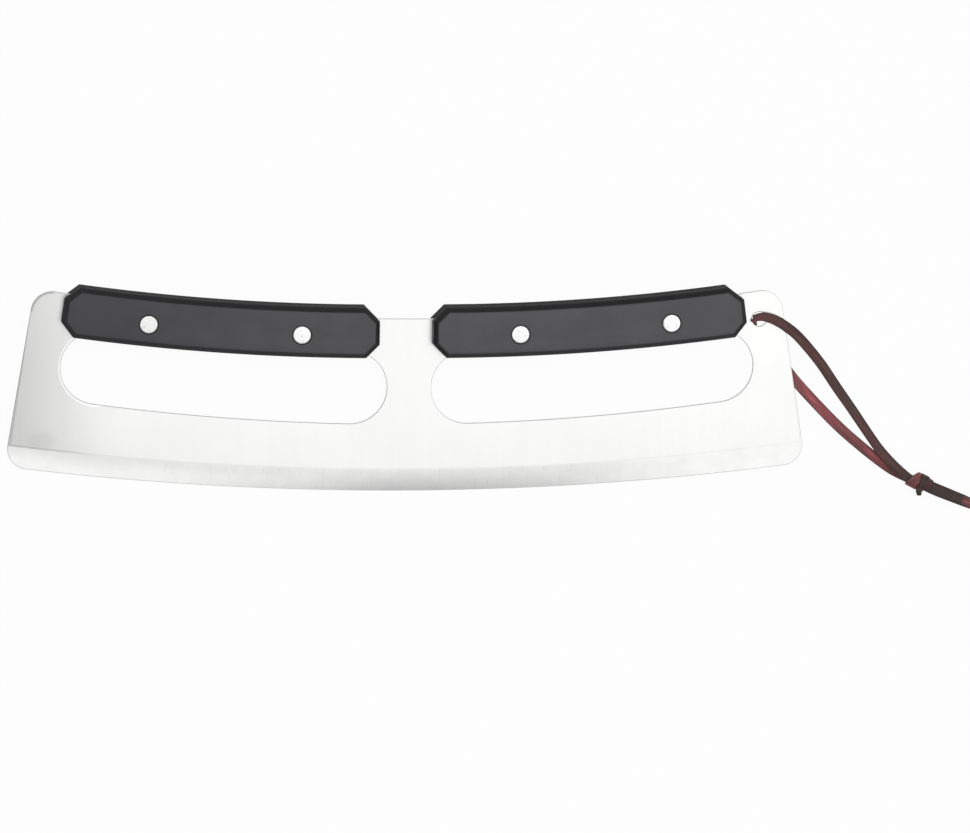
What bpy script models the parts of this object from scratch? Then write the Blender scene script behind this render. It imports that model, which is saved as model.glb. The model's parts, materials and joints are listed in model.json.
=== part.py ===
"""Pizza rocker knife: a long plate blade with a curved edge, two riveted handles and a leather lanyard.

The knife is drawn in its own frame, whose x runs along the blade, y from the cutting edge to the back
and z to the front, with z = 0 at the middle of the blade. The frame then leans back until the knife
lies on its edge and on the handles' rear corners, as it does on a table.
"""
import math

import bmesh
import bpy
from mathutils import Matrix, Vector

# Blade
BLADE_LENGTH = 0.350
BLADE_THICKNESS = 0.0020
EDGE_RADIUS = 1.344
EDGE_THICKNESS = 0.0003
GRIND_WIDTH = 0.0102
SIDE_LEAN = math.radians(9.5)
LOWER_CORNER_RADIUS = 0.0090
UPPER_CORNER_RADIUS = 0.0093
BACK_RADIUS = 0.985

# Finger slots, which follow an arc of their own, and the steel around them
SLOT_WIDTH = 0.0320
SLOT_ARC_RADIUS = 0.994
SLOT_MIDDLE_HEIGHT = 0.0454
SLOT_BRIDGE = 0.0194
SLOT_END_WALL = 0.02285
TANG_WIDTH = 0.0145
SLOT_INNER_END = (SLOT_WIDTH + SLOT_BRIDGE) / 2
SLOT_OUTER_END = (BLADE_LENGTH - SLOT_WIDTH) / 2 - SLOT_END_WALL
BACK_HEIGHT = SLOT_MIDDLE_HEIGHT + SLOT_WIDTH / 2 + TANG_WIDTH

# Handles: each is an arc-shaped bar in two half shells, with the blade's back in a pocket between them.
# A handle is as long as its slot, less a margin, and both sit a little to the left of their rivets.
HANDLE_END_MARGIN = 0.002225
HANDLE_LENGTH = SLOT_OUTER_END - SLOT_INNER_END + SLOT_WIDTH - 2 * HANDLE_END_MARGIN
HANDLE_WIDTH = 0.0220
HANDLE_THICKNESS = 0.0168
HANDLE_ARC_RADIUS = 0.978
HANDLE_INSET = 0.000225
HANDLE_RISE = 0.000877
HANDLE_LEAN = math.radians(4.06)
HANDLE_SHIFT = -0.00195
HANDLE_CORNER_CUT = 0.0059
HANDLE_CHAMFER = 0.0021
JOINT_GAP = 0.0003

# Rivets: a tube with a head, and a pin with a head that is driven into it from behind
RIVET_SPACING = 0.0667
RIVET_OUTSET = 0.0004
RIVET_DROP = 0.0012
RIVET_HEAD_RADIUS = 0.0037
RIVET_HEAD_HEIGHT = 0.0014
RIVET_HEAD_ROUND = 0.0002
RIVET_TUBE_RADIUS = 0.0024
RIVET_PIN_RADIUS = 0.0013
RIVET_INSET = 0.00005
RIVET_GAP = 0.0003

# Hole for the lanyard
LANYARD_HOLE_INSET = 0.0205
LANYARD_HOLE_DROP = 0.012592
LANYARD_HOLE_RADIUS = 0.0032
LANYARD_HOLE_CHAMFER = 0.0006

# Lanyard: a flat leather lace
LACE_WIDTH = 0.0043
LACE_THICKNESS = 0.0016
LACE_POINT_SPACING = 0.0090
KNOT_LENGTH = 0.0112
KNOT_RADIUS = 0.0042
KNOT_END_RADIUS = 0.0030
KNOT_FLATTENING = 0.78

# Routes of the lace in millimetres from the middle of its hole: x, y, z and the share of its width
LACE_ROUTE = (
    (66.9, -68.2, -6.9, 1.0),
    (62.2, -64.0, -7.2, 1.0),
    (57.6, -59.2, -7.3, 1.0),
    (52.8, -54.2, -8.0, 1.0),
    (47.1, -46.5, -8.7, 1.0),
    (38.7, -34.5, -8.0, 1.0),
    (28.1, -19.7, -4.6, 1.0),
    (18.4, -8.4, -0.2, 1.0),
    (12.1, -3.6, 2.0, 1.0),
    (7.0, -0.4, 2.7, 1.0),
    (3.6, 1.0, 3.0, 0.95),
    (1.3, 1.1, 2.6, 0.85),
    (0.1, 0.4, 1.4, 0.72),
    (-0.5, -0.5, 0.0, 0.68),
    (-0.6, -1.5, -1.5, 0.72),
    (0.0, -3.1, -2.9, 0.85),
    (1.9, -6.2, -3.9, 0.95),
    (7.6, -14.8, -5.4, 1.0),
    (16.5, -26.7, -7.6, 1.0),
    (27.1, -37.9, -9.0, 1.0),
    (37.8, -48.5, -9.2, 1.0),
    (48.5, -57.7, -9.2, 1.0),
    (58.6, -65.4, -9.2, 1.0),
    (66.2, -69.3, -9.2, 1.0),
)
LOOP_ROUTE = (
    (78.4, -74.4, -6.9, 1.0),
    (82.5, -75.9, -6.9, 1.0),
    (88.9, -78.4, -6.9, 1.0),
    (96.3, -81.3, -6.9, 1.0),
    (105.9, -84.2, -7.0, 1.0),
    (116.2, -85.4, -7.6, 1.0),
    (128.6, -87.0, -8.9, 1.0),
    (140.3, -90.3, -9.2, 1.0),
    (148.5, -96.4, -9.2, 1.0),
    (150.1, -104.2, -9.2, 1.0),
    (143.4, -108.6, -9.2, 1.0),
    (133.3, -106.9, -9.2, 1.0),
    (122.8, -101.0, -9.2, 1.0),
    (113.1, -93.4, -9.2, 1.0),
    (105.0, -86.8, -9.2, 1.0),
    (96.1, -81.9, -9.2, 1.0),
    (88.7, -78.9, -9.2, 1.0),
    (82.3, -76.2, -9.2, 1.0),
    (78.4, -74.5, -9.2, 1.0),
)
KNOT_PLACE = (72.6, -71.5, -6.6)
KNOT_TURN = math.radians(-27)

# Fineness of the arcs
EDGE_STEPS = 36
ARC_STEPS = 16
CORNER_STEPS = 12
SLOT_END_STEPS = 32
ROUND_STEPS = 28
WELD = 0.00001

MILLIMETRE = 0.001
CUT_MARGIN = 0.003


def start_collection(name):
    collection = bpy.data.collections.new(name)
    bpy.context.scene.collection.children.link(collection)
    return collection


def make_material(name, colour, roughness, metallic):
    material = bpy.data.materials.new(name)
    material.use_nodes = True
    shader = material.node_tree.nodes["Principled BSDF"]
    shader.inputs["Base Color"].default_value = (*colour, 1)
    shader.inputs["Roughness"].default_value = roughness
    shader.inputs["Metallic"].default_value = metallic
    return material


def on_circle(centre, radius, angle):
    return centre[0] + radius * math.cos(angle), centre[1] + radius * math.sin(angle)


def arc(centre, radius, start, end, steps):
    """Points on a circle from one angle to another, both ends included."""
    return [on_circle(centre, radius, start + (end - start) * i / steps) for i in range(steps + 1)]


def circle(centre, radius):
    return arc(centre, radius, 0, 2 * math.pi, ROUND_STEPS)[:-1]


def add_mesh(name, mesh, collection):
    piece = bpy.data.objects.new(name, mesh)
    collection.objects.link(piece)
    return piece


def freeze(source, name, collection):
    """Turn a curve, or an object with modifiers, into a welded mesh object with the given name."""
    bpy.context.view_layer.update()
    depsgraph = bpy.context.evaluated_depsgraph_get()
    mesh = bpy.data.meshes.new_from_object(source.evaluated_get(depsgraph))
    shape = bmesh.new()
    shape.from_mesh(mesh)
    bmesh.ops.remove_doubles(shape, verts=shape.verts, dist=WELD)
    bmesh.ops.recalc_face_normals(shape, faces=shape.faces)
    shape.to_mesh(mesh)
    shape.free()
    place = source.matrix_world.copy()
    bpy.data.objects.remove(source)
    piece = add_mesh(name, mesh, collection)
    piece.matrix_world = place
    return piece


def plate(name, outlines, thickness, collection):
    """A flat plate about z = 0 from an outline, followed by the outlines of its holes."""
    curve = bpy.data.curves.new(name + "_outline", "CURVE")
    curve.dimensions = "2D"
    curve.fill_mode = "BOTH"
    curve.extrude = thickness / 2
    for outline in outlines:
        spline = curve.splines.new("POLY")
        spline.points.add(len(outline) - 1)
        spline.use_cyclic_u = True
        for point, (x, y) in zip(spline.points, outline):
            point.co = (x, y, 0, 1)
    source = bpy.data.objects.new(name + "_outline", curve)
    collection.objects.link(source)
    return freeze(source, name, collection)


def turned(name, profile, collection):
    """A round piece about its z axis, from a profile that runs down its outer side."""
    mesh = bpy.data.meshes.new(name + "_profile")
    points = [(x, 0, z) for x, z in profile]
    edges = [(i, i + 1) for i in range(len(points) - 1)]
    mesh.from_pydata(points, edges, [])
    source = add_mesh(name + "_profile", mesh, collection)
    screw = source.modifiers.new("turn", "SCREW")
    screw.steps = ROUND_STEPS
    screw.render_steps = ROUND_STEPS
    screw.use_merge_vertices = True
    screw.merge_threshold = WELD
    piece = freeze(source, name, collection)
    piece.data.shade_smooth()
    piece.data.set_sharp_from_angle(angle=math.radians(40))
    return piece


def cut(piece, cutter):
    boolean = piece.modifiers.new("cut by " + cutter.name, "BOOLEAN")
    boolean.operation = "DIFFERENCE"
    boolean.solver = "EXACT"
    boolean.object = cutter


def hide_cutter(cutter, frame):
    cutter.parent = frame
    cutter.hide_render = True
    cutter.display_type = "WIRE"


def finish_piece(piece, parent, material):
    piece.parent = parent
    piece.data.materials.clear()
    piece.data.materials.append(material)


def edge_centre():
    return (0, EDGE_RADIUS)


def back_centre():
    return (0, BACK_HEIGHT + BACK_RADIUS)


def arc_height(middle_height, radius, x):
    """Height at x of an upward arc whose lowest point is over x = 0."""
    return middle_height + radius - math.sqrt(radius ** 2 - x ** 2)


def lanyard_hole():
    """The middle of the hole, set in from the blade's end and down from its back."""
    x = BLADE_LENGTH / 2 - LANYARD_HOLE_INSET
    return x, arc_height(BACK_HEIGHT, BACK_RADIUS, x) - LANYARD_HOLE_DROP


def handle_middle():
    """The middle of the right handle, over the middle of its slot and of the tang there."""
    x = (SLOT_INNER_END + SLOT_OUTER_END) / 2 - HANDLE_INSET
    back = arc_height(BACK_HEIGHT, BACK_RADIUS, x)
    slot = arc_height(SLOT_MIDDLE_HEIGHT + SLOT_WIDTH / 2, SLOT_ARC_RADIUS - SLOT_WIDTH / 2, x)
    return x, (back + slot) / 2 + HANDLE_RISE


def lower_corner_centre():
    x = BLADE_LENGTH / 2 - LOWER_CORNER_RADIUS
    return Vector((x, EDGE_RADIUS - math.sqrt((EDGE_RADIUS - LOWER_CORNER_RADIUS) ** 2 - x ** 2)))


def upper_corner_centre():
    """The corner circle touches the leaning side, and the arc of the back from below."""
    outward = Vector((math.cos(SIDE_LEAN), math.sin(SIDE_LEAN)))
    along = Vector((-outward.y, outward.x))
    start = lower_corner_centre() + outward * (LOWER_CORNER_RADIUS - UPPER_CORNER_RADIUS)
    to_start = start - Vector(back_centre())
    half = to_start.dot(along)
    rest = to_start.length_squared - (BACK_RADIUS + UPPER_CORNER_RADIUS) ** 2
    return start + along * (-half - math.sqrt(half ** 2 - rest))


def blade_outline():
    """Half of the outline, from the middle of the edge to the middle of the back, and its mirror."""
    low = lower_corner_centre()
    high = upper_corner_centre()
    edge_angle = math.atan2(low.x, EDGE_RADIUS - low.y)
    back_middle = Vector(back_centre())
    back_angle = math.atan2(high.x, back_middle.y - high.y)
    quarter = math.pi / 2
    right = arc(edge_centre(), EDGE_RADIUS, -quarter, edge_angle - quarter, EDGE_STEPS // 2)
    right += arc(low, LOWER_CORNER_RADIUS, edge_angle - quarter, SIDE_LEAN, CORNER_STEPS)[1:]
    right += arc(high, UPPER_CORNER_RADIUS, SIDE_LEAN, quarter + back_angle, CORNER_STEPS)
    right += arc(back_middle, BACK_RADIUS, back_angle - quarter, -quarter, ARC_STEPS)[1:]
    left = [(-x, y) for x, y in reversed(right[1:-1])]
    return right + left


def slot_outline(side, shrink=0):
    """A slot with round ends; side is 1 on the right and -1 on the left."""
    centre = (0, SLOT_MIDDLE_HEIGHT + SLOT_ARC_RADIUS)
    radius = SLOT_WIDTH / 2 - shrink
    inner = math.asin(SLOT_INNER_END / SLOT_ARC_RADIUS) - math.pi / 2
    outer = math.asin(SLOT_OUTER_END / SLOT_ARC_RADIUS) - math.pi / 2
    inner_middle = on_circle(centre, SLOT_ARC_RADIUS, inner)
    outer_middle = on_circle(centre, SLOT_ARC_RADIUS, outer)
    points = arc(centre, SLOT_ARC_RADIUS + radius, inner, outer, ARC_STEPS)
    points += arc(outer_middle, radius, outer, outer + math.pi, SLOT_END_STEPS)[1:-1]
    points += arc(centre, SLOT_ARC_RADIUS - radius, outer, inner, ARC_STEPS)
    points += arc(inner_middle, radius, inner + math.pi, inner + 2 * math.pi, SLOT_END_STEPS)[1:-1]
    return [(side * x, y) for x, y in points]


def handle_frame(side):
    """From a handle's own frame, with its middle at the origin, to the knife's frame."""
    x, y = handle_middle()
    return Matrix.Translation((side * x, y, 0)) @ Matrix.Rotation(side * HANDLE_LEAN, 4, "Z")


def rivet_places(side):
    """Rivet centres of one handle in its own frame, inner rivet first."""
    places = {}
    for name, end in (("inner", -1), ("outer", 1)):
        angle = side * (RIVET_OUTSET + end * RIVET_SPACING / 2) / HANDLE_ARC_RADIUS
        radius = HANDLE_ARC_RADIUS + RIVET_DROP
        places[name] = (radius * math.sin(angle), HANDLE_ARC_RADIUS - radius * math.cos(angle))
    return places


def handle_outline():
    """The bar's outline in its own frame: two arcs, two ends that point at the arcs' centre, cut corners."""
    low = HANDLE_ARC_RADIUS + HANDLE_WIDTH / 2
    high = HANDLE_ARC_RADIUS - HANDLE_WIDTH / 2
    centre = (0, HANDLE_ARC_RADIUS)
    down = HANDLE_SHIFT / HANDLE_ARC_RADIUS - math.pi / 2
    half = HANDLE_LENGTH / 2 / HANDLE_ARC_RADIUS
    low_half = half - HANDLE_CORNER_CUT / low
    high_half = half - HANDLE_CORNER_CUT / high
    points = arc(centre, low, down - low_half, down + low_half, ARC_STEPS)
    end_radii = (low - HANDLE_CORNER_CUT, high + HANDLE_CORNER_CUT)
    points += [on_circle(centre, radius, down + half) for radius in end_radii]
    points += arc(centre, high, down + high_half, down - high_half, ARC_STEPS)
    points += [on_circle(centre, radius, down - half) for radius in reversed(end_radii)]
    return points


def make_grind_cutter(name, cutters):
    """A wedge swept along the edge's arc that leaves the front face slanting down to the edge."""
    slope = (BLADE_THICKNESS - EDGE_THICKNESS) / 2 / GRIND_WIDTH
    inner = EDGE_RADIUS - GRIND_WIDTH - CUT_MARGIN
    outer = EDGE_RADIUS + CUT_MARGIN
    inner_height = BLADE_THICKNESS / 2 + CUT_MARGIN * slope
    outer_height = EDGE_THICKNESS / 2 - CUT_MARGIN * slope
    top = BLADE_THICKNESS / 2 + CUT_MARGIN
    profile = ((inner, inner_height), (outer, outer_height), (outer, top), (inner, top))
    low = lower_corner_centre()
    step = 2 * math.atan2(low.x, EDGE_RADIUS - low.y) / EDGE_STEPS
    spare = 4
    steps = EDGE_STEPS + 2 * spare
    turn = Matrix.Rotation(-steps * step / 2, 3, "Z")
    pivot = Vector((*edge_centre(), 0))
    shape = bmesh.new()
    corners = [shape.verts.new(turn @ Vector((0, -r, z)) + pivot) for r, z in profile]
    shape.faces.new(corners)
    bmesh.ops.spin(shape, geom=shape.verts[:] + shape.edges[:] + shape.faces[:], cent=pivot,
                   axis=(0, 0, 1), angle=steps * step, steps=steps, use_duplicate=False)
    bmesh.ops.remove_doubles(shape, verts=shape.verts, dist=WELD)
    bmesh.ops.recalc_face_normals(shape, faces=shape.faces)
    mesh = bpy.data.meshes.new(name)
    shape.to_mesh(mesh)
    shape.free()
    return add_mesh(name, mesh, cutters)


def make_blade(collection, cutters, frame, material):
    rivet_holes = []
    for side in (-1, 1):
        for x, y in rivet_places(side).values():
            centre = handle_frame(side) @ Vector((x, y, 0))
            rivet_holes.append(circle(centre, RIVET_TUBE_RADIUS + RIVET_GAP))
    outlines = [blade_outline(), slot_outline(-1), slot_outline(1)] + rivet_holes
    blade = plate("blade", outlines, BLADE_THICKNESS, collection)
    front = make_grind_cutter("front_grind_cutter", cutters)
    rear = make_grind_cutter("rear_grind_cutter", cutters)
    rear.rotation_euler = (0, math.pi, 0)
    rim = LANYARD_HOLE_RADIUS + LANYARD_HOLE_CHAMFER + CUT_MARGIN
    half = BLADE_THICKNESS / 2
    throat = half - LANYARD_HOLE_CHAMFER
    profile = ((0, half + CUT_MARGIN), (rim, half + CUT_MARGIN), (LANYARD_HOLE_RADIUS, throat),
               (LANYARD_HOLE_RADIUS, -throat), (rim, -half - CUT_MARGIN), (0, -half - CUT_MARGIN))
    hole = turned("lanyard_hole_cutter", profile, cutters)
    hole.location = (*lanyard_hole(), 0)
    for cutter in (front, rear, hole):
        hide_cutter(cutter, frame)
        cut(blade, cutter)
    finish_piece(blade, frame, material)
    return blade


def make_pocket_cutter(cutters, frame):
    """The blade's plate, grown by the joint gap where handles cover it, which hollows their shells."""
    half = BLADE_LENGTH / 2
    reach = math.asin(half / BACK_RADIUS)
    down = -math.pi / 2
    outline = arc(back_centre(), BACK_RADIUS - JOINT_GAP, down + reach, down - reach, 2 * ARC_STEPS)
    outline += [(-half, 0), (half, 0)]
    outlines = [outline, slot_outline(-1, JOINT_GAP), slot_outline(1, JOINT_GAP)]
    pocket = plate("pocket_cutter", outlines, BLADE_THICKNESS + 2 * JOINT_GAP, cutters)
    hide_cutter(pocket, frame)
    return pocket


def make_rivet_bore(name, cutters):
    """A bore for a rivet's tube, with a wider seat for a head at each face of the handle."""
    top = HANDLE_THICKNESS / 2 + CUT_MARGIN
    seat = HANDLE_THICKNESS / 2 - RIVET_INSET - RIVET_HEAD_HEIGHT - RIVET_GAP
    head = RIVET_HEAD_RADIUS + RIVET_GAP
    shank = RIVET_TUBE_RADIUS + RIVET_GAP
    profile = ((0, top), (head, top), (head, seat), (shank, seat),
               (shank, -seat), (head, -seat), (head, -top), (0, -top))
    return turned(name, profile, cutters)


def make_scale(name, side, face, bores, pocket, collection, frame, material):
    """One half shell of a handle; face is 1 for the front and -1 for the rear."""
    shell = HANDLE_THICKNESS / 2 - JOINT_GAP / 2
    scale = plate(name, [handle_outline()], shell, collection)
    shape = bmesh.new()
    shape.from_mesh(scale.data)
    bmesh.ops.translate(shape, verts=shape.verts, vec=(0, 0, face * (JOINT_GAP / 2 + shell / 2)))
    straight = math.radians(0.1)
    bmesh.ops.dissolve_limit(shape, angle_limit=straight, verts=shape.verts, edges=shape.edges)
    outer = face * HANDLE_THICKNESS / 2
    rim = [edge for edge in shape.edges if all(abs(v.co.z - outer) < WELD for v in edge.verts)]
    bmesh.ops.bevel(shape, geom=rim, offset=HANDLE_CHAMFER, offset_type="OFFSET", segments=1,
                    affect="EDGES", clamp_overlap=True)
    shape.to_mesh(scale.data)
    shape.free()
    finish_piece(scale, frame, material)
    scale.matrix_local = handle_frame(side)
    cut(scale, pocket)
    for bore in bores:
        cut(scale, bore)
    return scale


def make_rivet_tube(name, collection):
    """The front half: a head, and a tube that reaches through the blade, open at its far end."""
    top = HANDLE_THICKNESS / 2 - RIVET_INSET
    seat = top - RIVET_HEAD_HEIGHT
    bore = RIVET_PIN_RADIUS + RIVET_GAP
    end = -BLADE_THICKNESS / 2 - RIVET_HEAD_HEIGHT
    profile = ((0, top), (RIVET_HEAD_RADIUS - RIVET_HEAD_ROUND, top),
               (RIVET_HEAD_RADIUS, top - RIVET_HEAD_ROUND), (RIVET_HEAD_RADIUS, seat),
               (RIVET_TUBE_RADIUS, seat), (RIVET_TUBE_RADIUS, end), (bore, end), (bore, seat), (0, seat))
    return turned(name, profile, collection)


def make_rivet_pin(name, collection):
    """The rear half: a head, and a pin that ends just short of the bottom of the tube's bore."""
    top = HANDLE_THICKNESS / 2 - RIVET_INSET
    seat = top - RIVET_HEAD_HEIGHT
    tip = RIVET_GAP - seat
    profile = ((0, top), (RIVET_HEAD_RADIUS - RIVET_HEAD_ROUND, top),
               (RIVET_HEAD_RADIUS, top - RIVET_HEAD_ROUND), (RIVET_HEAD_RADIUS, seat),
               (RIVET_PIN_RADIUS, seat), (RIVET_PIN_RADIUS, tip), (0, tip))
    return turned(name, profile, collection)


def make_handle(side, pocket, collection, cutters, frame, plastic, steel):
    hand = {-1: "left", 1: "right"}[side]
    bores = []
    for row, (x, y) in rivet_places(side).items():
        place = handle_frame(side) @ Matrix.Translation((x, y, 0))
        bore = make_rivet_bore(f"{hand}_{row}_rivet_bore", cutters)
        hide_cutter(bore, frame)
        bore.matrix_local = place
        bores.append(bore)
        tube = make_rivet_tube(f"{hand}_{row}_rivet_tube", collection)
        finish_piece(tube, frame, steel)
        tube.matrix_local = place
        pin = make_rivet_pin(f"{hand}_{row}_rivet_pin", collection)
        finish_piece(pin, frame, steel)
        pin.matrix_local = place @ Matrix.Rotation(math.pi, 4, "X")
    for layer, face in (("front", 1), ("rear", -1)):
        make_scale(f"{hand}_{layer}_scale", side, face, bores, pocket, collection, frame, plastic)


def smooth_path(route, spacing):
    """Points on a smooth curve through the route, in metres, each with its share of the width."""
    knots = [Vector(point[:3]) * MILLIMETRE for point in route]
    shares = [point[3] for point in route]
    path = []
    for i in range(len(knots) - 1):
        before = knots[max(i - 1, 0)]
        start, end = knots[i], knots[i + 1]
        after = knots[min(i + 2, len(knots) - 1)]
        steps = max(2, math.ceil((end - start).length / spacing))
        for k in range(steps):
            t = k / steps
            bend = (end - before) * t + (2 * before - 5 * start + 4 * end - after) * t ** 2
            bend += (3 * start - before - 3 * end + after) * t ** 3
            path.append((start + bend / 2, shares[i] + (shares[i + 1] - shares[i]) * t))
    path.append((knots[-1], shares[-1]))
    return path


def make_lace(name, route, pivot, collection, material):
    """A flat strap with round edges along a route, lying on its broad side."""
    curve = bpy.data.curves.new(name, "CURVE")
    curve.dimensions = "3D"
    curve.twist_mode = "Z_UP"
    curve.bevel_depth = LACE_THICKNESS / 2
    curve.extrude = (LACE_WIDTH - LACE_THICKNESS) / 2
    curve.bevel_resolution = 2
    curve.use_fill_caps = True
    path = smooth_path(route, LACE_POINT_SPACING)
    spline = curve.splines.new("POLY")
    spline.points.add(len(path) - 1)
    for point, (place, share) in zip(spline.points, path):
        point.co = (*place, 1)
        point.radius = share
        point.tilt = math.pi / 2
    lace = bpy.data.objects.new(name, curve)
    collection.objects.link(lace)
    finish_piece(lace, pivot, material)
    return lace


def make_knot(pivot, collection, material):
    """The knot's outer shape: a flattened barrel, whose flat ends the strands meet."""
    half = KNOT_LENGTH / 2
    rings = 8
    profile = [(0, half)]
    for i in range(rings + 1):
        z = half - KNOT_LENGTH * i / rings
        swell = math.sqrt(1 - (z / half) ** 2)
        profile.append((KNOT_END_RADIUS + (KNOT_RADIUS - KNOT_END_RADIUS) * swell, z))
    profile.append((0, -half))
    knot = turned("lanyard_knot", profile, collection)
    lay = Matrix.Rotation(math.pi / 2, 4, "Y")
    flatten = Matrix.Diagonal((1, 1, KNOT_FLATTENING, 1))
    knot.data.transform(flatten @ lay)
    finish_piece(knot, pivot, material)
    knot.location = Vector(KNOT_PLACE) * MILLIMETRE
    knot.rotation_euler = (0, 0, KNOT_TURN)
    return knot


def rest_tilt():
    """The lean at which the knife lies on its edge and on the handles' rear lower corners."""
    low = HANDLE_ARC_RADIUS + HANDLE_WIDTH / 2 - HANDLE_CHAMFER
    centre_height = handle_middle()[1] + HANDLE_ARC_RADIUS * math.cos(HANDLE_LEAN)
    reach = HANDLE_LENGTH / 2 / HANDLE_ARC_RADIUS - HANDLE_CORNER_CUT / low
    lowest_angle = max(0, HANDLE_LEAN - reach)
    corner_height = centre_height - low * math.cos(lowest_angle)
    return math.atan2((HANDLE_THICKNESS - EDGE_THICKNESS) / 2, corner_height)


def stand_on_table(frame, pieces):
    """Move the frame so that its pieces stand on z = 0, with their middle over the origin."""
    bpy.context.view_layer.update()
    depsgraph = bpy.context.evaluated_depsgraph_get()
    points = []
    for piece in pieces:
        solid = piece.evaluated_get(depsgraph)
        points += [solid.matrix_world @ vertex.co for vertex in solid.data.vertices]
    middle = [(min(p[k] for p in points) + max(p[k] for p in points)) / 2 for k in (0, 1)]
    frame.location -= Vector((*middle, min(p.z for p in points)))
    bpy.context.view_layer.update()


def main():
    for item in list(bpy.data.objects):
        bpy.data.objects.remove(item)
    collection = start_collection("pizza_rocker_knife")
    cutters = start_collection("cutters")
    steel = make_material("brushed steel", (0.72, 0.72, 0.71), 0.32, 1.0)
    bright = make_material("rivet steel", (0.80, 0.80, 0.79), 0.22, 1.0)
    plastic = make_material("black plastic", (0.028, 0.028, 0.031), 0.45, 0.0)
    leather = make_material("brown leather", (0.065, 0.035, 0.030), 0.60, 0.0)

    frame = bpy.data.objects.new("knife_frame", None)
    collection.objects.link(frame)
    frame.rotation_euler = (rest_tilt(), 0, 0)
    make_blade(collection, cutters, frame, steel)
    pocket = make_pocket_cutter(cutters, frame)
    for side in (-1, 1):
        make_handle(side, pocket, collection, cutters, frame, plastic, bright)
    stand_on_table(frame, [piece for piece in collection.objects if piece.type == "MESH"])

    pivot = bpy.data.objects.new("lanyard_pivot", None)
    collection.objects.link(pivot)
    pivot.location = frame.matrix_world @ Vector((*lanyard_hole(), 0))
    make_lace("lanyard_lace", LACE_ROUTE, pivot, collection, leather)
    make_lace("lanyard_loop", LOOP_ROUTE, pivot, collection, leather)
    make_knot(pivot, collection, leather)


main()
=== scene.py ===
"""Pizza rocker knife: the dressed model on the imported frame, with its floor, lights and camera."""

import json
import math

import bmesh
import bpy
from mathutils import Matrix, Vector
from mathutils.geometry import delaunay_2d_cdt

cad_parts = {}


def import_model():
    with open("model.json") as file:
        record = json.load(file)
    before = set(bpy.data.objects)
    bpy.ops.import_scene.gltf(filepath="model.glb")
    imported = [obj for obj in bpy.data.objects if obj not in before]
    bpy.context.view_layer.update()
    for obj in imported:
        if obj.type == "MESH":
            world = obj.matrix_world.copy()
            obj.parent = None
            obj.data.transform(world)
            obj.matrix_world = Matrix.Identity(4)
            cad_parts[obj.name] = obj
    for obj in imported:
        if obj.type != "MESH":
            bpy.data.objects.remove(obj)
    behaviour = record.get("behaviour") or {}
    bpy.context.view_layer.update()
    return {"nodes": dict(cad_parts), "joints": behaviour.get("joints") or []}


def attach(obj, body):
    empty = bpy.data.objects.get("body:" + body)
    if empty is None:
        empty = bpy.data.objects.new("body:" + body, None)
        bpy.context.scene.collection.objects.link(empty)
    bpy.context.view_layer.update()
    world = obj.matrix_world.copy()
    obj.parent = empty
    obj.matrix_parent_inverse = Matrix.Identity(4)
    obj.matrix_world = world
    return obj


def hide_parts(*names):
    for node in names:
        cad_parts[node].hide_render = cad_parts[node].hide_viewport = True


MILLIMETRE = 0.001

# The knife's own frame in the world: it leans back on its edge and on the handles' rear corners
KNIFE_TILT = math.radians(7.63851)
KNIFE_PLACE = (0, -0.045256, 0.000149)

# Blade
BLADE_LENGTH = 0.350
BLADE_THICKNESS = 0.0020
EDGE_RADIUS = 1.344
EDGE_THICKNESS = 0.0003
GRIND_WIDTH = 0.0102
SIDE_LEAN = math.radians(9.5)
LOWER_CORNER_RADIUS = 0.0090
UPPER_CORNER_RADIUS = 0.0093
BACK_RADIUS = 0.985
BACK_HEIGHT = 0.0759
SLOT_WIDTH = 0.0320
SLOT_ARC_RADIUS = 0.994
SLOT_MIDDLE_HEIGHT = 0.0454
SLOT_INNER_END = 0.0257
SLOT_OUTER_END = 0.13615
HOLE_PLACE = (0.1545, 0.0755)
HOLE_RADIUS = 0.0032
RIVET_HOLE_RADIUS = 0.0027
RIM_ROUND = 0.00028
HOLE_ROUND = 0.0003
RIM_SHARE = 0.7
GRIND_ROWS = (0.12, 0.25, 0.38, 0.5, 0.62, 0.75, 0.86, 0.95, 1.0)
ROW_END_MARGIN = 0.0004
GRIND_CROWN_MIDDLE = 0.7
GRIND_CROWN_LEFT = -0.35
GRIND_CROWN_RIGHT = 0.0
GRIND_END_STOCK = 0.0005

# Fineness of the blade's outlines
EDGE_STEPS = 60
CORNER_STEPS = 24
BACK_STEPS = 48
SLOT_SIDE_STEPS = 32
SLOT_END_STEPS = 48
HOLE_STEPS = 48
RIVET_HOLE_STEPS = 24
RIM_STEPS = 3
GRIND_STEPS = 120
SLOPE_STEP = 0.00005
PLAN_TOLERANCE = 1e-9

# Handles and rivets
HANDLE_THICKNESS = 0.0168
SCALE_ROUND = 0.00035
SCALE_FACE_ROUND = 0.0007
SCALE_SHARP = math.radians(24)
SCALE_CREASE = math.radians(35)
ROUND_SEGMENTS = 4
WELD_DISTANCE = 0.00001
FLAT_ANGLE = math.radians(0.3)

# How squarely the handle's broad face and its chamfer look forward, as cosines
BROAD_FACE = 0.98
CHAMFER_FACE = (0.4, 0.95)

RIVETS = {
    "left_inner": (-0.047844, 0.069872),
    "left_outer": (-0.114444, 0.074627),
    "right_inner": (0.047844, 0.069872),
    "right_outer": (0.114444, 0.074627),
}
RIVET_HEAD_RADIUS = 0.0039
RIVET_HEAD_HEIGHT = 0.0014
RIVET_TUBE_RADIUS = 0.0024
RIVET_PIN_RADIUS = 0.0013
RIVET_INSET = 0.00005
RIVET_GAP = 0.0003
RIVET_ROUND = 0.0003
RIVET_DOME = 0.00008
RIVET_STEPS = 56
RIVET_CREASE = math.radians(40)
HEAD_SHARES = (0, 0.3, 0.6, 0.85, 1.0)
HEAD_ROUND_STEPS = 3

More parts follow.
